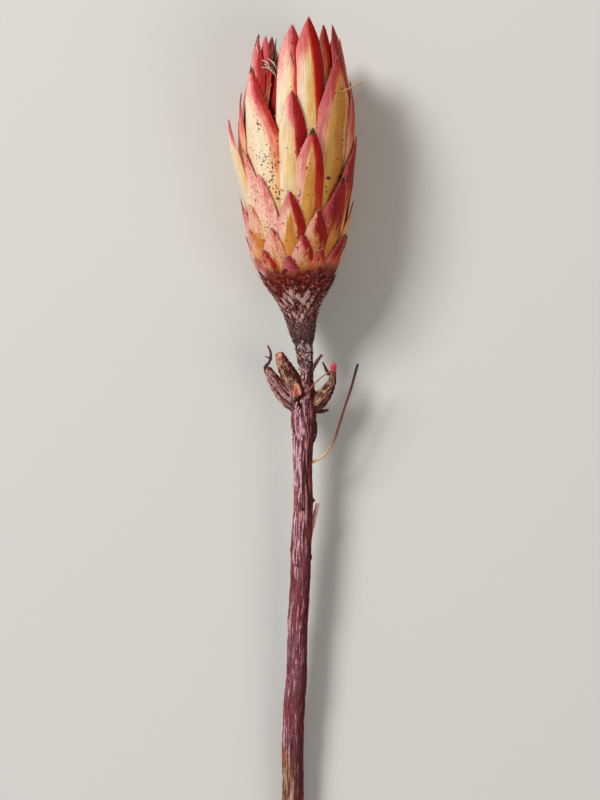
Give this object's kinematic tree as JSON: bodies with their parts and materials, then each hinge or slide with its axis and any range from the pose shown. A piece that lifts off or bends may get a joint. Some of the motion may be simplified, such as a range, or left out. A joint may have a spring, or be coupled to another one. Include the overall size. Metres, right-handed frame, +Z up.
{
  "type": "dried protea flower",
  "caption": "Dried protea flower lying on its side: a closed head of layered pointed bracts, a cone of small scales and a cut woody stem with stubs and twigs.",
  "frame": {"origin": "middle of the flat spot under the widest part of the head, on the surface the flower lies on", "axes": "+Y from the stem's cut end to the tips of the bracts, +Z up from the surface"},
  "size_m": [0.0438, 0.295, 0.0397],
  "materials": {
    "stem": "rough bark",
    "scale_cone": "dry matt",
    "flower_head": "dry satin"
  },
  "bodies": {
    "root": {"stem": "stem", "scale_cone": "scale_cone", "flower_head": "flower_head"}
  },
  "joints": []
}
